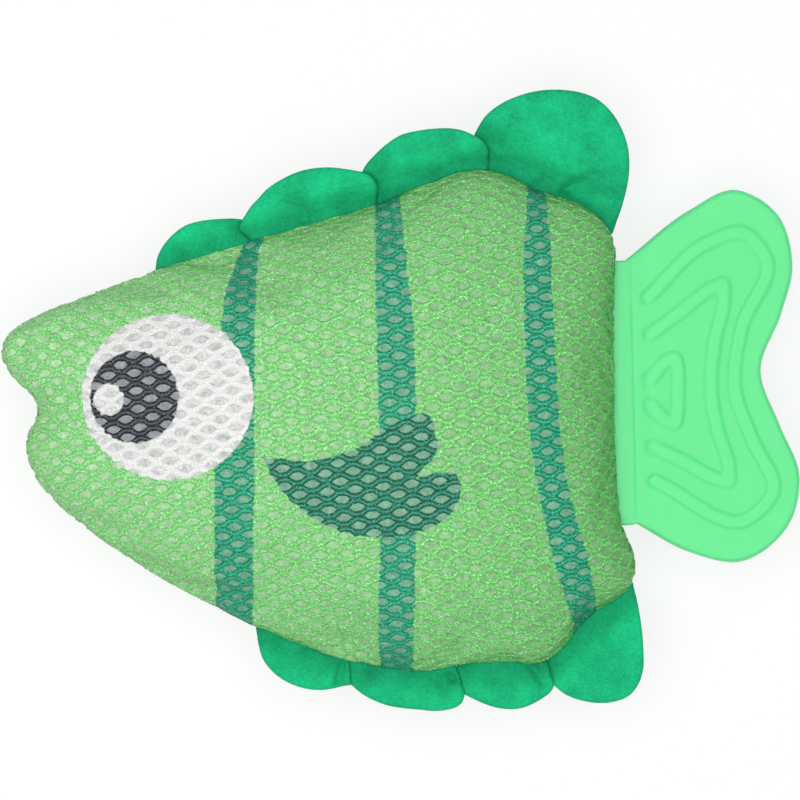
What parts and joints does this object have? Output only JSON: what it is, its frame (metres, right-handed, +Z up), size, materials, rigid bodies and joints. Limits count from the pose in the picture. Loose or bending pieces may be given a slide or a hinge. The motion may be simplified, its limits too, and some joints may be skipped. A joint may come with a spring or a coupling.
{
  "type": "fish cat toy",
  "caption": "Stuffed fish-shaped cat toy lying on its side, with printed mesh panels, flapping felt fin petals and a bendable ribbed rubber tail.",
  "frame": {"origin": "on the surface that the toy lies on, under the middle of its outline", "axes": "+Z up out of the printed front side, +Y towards the fish's back, nose along -X"},
  "size_m": [0.1702, 0.1323, 0.0435],
  "materials": {
    "printed_mesh": "printed air-mesh knit",
    "filling": "loose polyester fibre",
    "sachet": "thin non-woven pouch",
    "felt": "soft felt",
    "tail_rubber": "satin moulded rubber"
  },
  "bodies": {
    "body": {"front_panel": "printed_mesh", "back_panel": "printed_mesh", "front_filling": "filling", "back_filling": "filling", "catnip_sachet": "sachet", "tail_sewing_flange": "tail_rubber", "dorsal_root_strip": "felt", "ventral_root_strip": "felt"},
    "tail": {"tail_fin": "tail_rubber"},
    "ventral_petal_1_flap": {"ventral_petal_1": "felt"},
    "ventral_petal_2_flap": {"ventral_petal_2": "felt"},
    "ventral_petal_3_flap": {"ventral_petal_3": "felt"},
    "ventral_petal_4_flap": {"ventral_petal_4": "felt"},
    "dorsal_petal_1_flap": {"dorsal_petal_1": "felt"},
    "dorsal_petal_2_flap": {"dorsal_petal_2": "felt"},
    "dorsal_petal_3_flap": {"dorsal_petal_3": "felt"},
    "dorsal_petal_4_flap": {"dorsal_petal_4": "felt"}
  },
  "joints": [
    {"name": "tail_bend", "type": "hinge", "parent": "body", "child": "tail", "pos_m": [0.04746, 0.02901, 0.0215], "axis": [0.0242, -0.9997, 0], "range_deg": [-45, 45], "stiffness_Nm_per_rad": 0.03},
    {"name": "ventral_petal_1_bend", "type": "hinge", "parent": "body", "child": "ventral_petal_1_flap", "pos_m": [-0.01206, -0.05565, 0.0215], "axis": [-0.941, 0.3383, 0], "range_deg": [-30, 30], "stiffness_Nm_per_rad": 0.001},
    {"name": "ventral_petal_2_bend", "type": "hinge", "parent": "body", "child": "ventral_petal_2_flap", "pos_m": [0.01298, -0.05817, 0.0215], "axis": [-0.9988, 0.0492, 0], "range_deg": [-30, 30], "stiffness_Nm_per_rad": 0.001},
    {"name": "ventral_petal_3_bend", "type": "hinge", "parent": "body", "child": "ventral_petal_3_flap", "pos_m": [0.03231, -0.05605, 0.0215], "axis": [-0.9975, -0.0708, 0], "range_deg": [-30, 30], "stiffness_Nm_per_rad": 0.001},
    {"name": "ventral_petal_4_bend", "type": "hinge", "parent": "body", "child": "ventral_petal_4_flap", "pos_m": [0.04941, -0.03978, 0.0215], "axis": [-0.7393, -0.6734, 0], "range_deg": [-30, 30], "stiffness_Nm_per_rad": 0.002},
    {"name": "dorsal_petal_1_bend", "type": "hinge", "parent": "body", "child": "dorsal_petal_1_flap", "pos_m": [-0.05164, 0.02825, 0.0215], "axis": [0.9549, 0.2971, 0], "range_deg": [-30, 30], "stiffness_Nm_per_rad": 0.001},
    {"name": "dorsal_petal_2_bend", "type": "hinge", "parent": "body", "child": "dorsal_petal_2_flap", "pos_m": [-0.03365, 0.03374, 0.0215], "axis": [0.9597, 0.281, 0], "range_deg": [-30, 30], "stiffness_Nm_per_rad": 0.001},
    {"name": "dorsal_petal_3_bend", "type": "hinge", "parent": "body", "child": "dorsal_petal_3_flap", "pos_m": [-0.00525, 0.04355, 0.0215], "axis": [0.962, 0.2731, 0], "range_deg": [-30, 30], "stiffness_Nm_per_rad": 0.001},
    {"name": "dorsal_petal_4_bend", "type": "hinge", "parent": "body", "child": "dorsal_petal_4_flap", "pos_m": [0.0207, 0.05148, 0.0215], "axis": [0.8799, -0.4752, 0], "range_deg": [-30, 30], "stiffness_Nm_per_rad": 0.002}
  ]
}
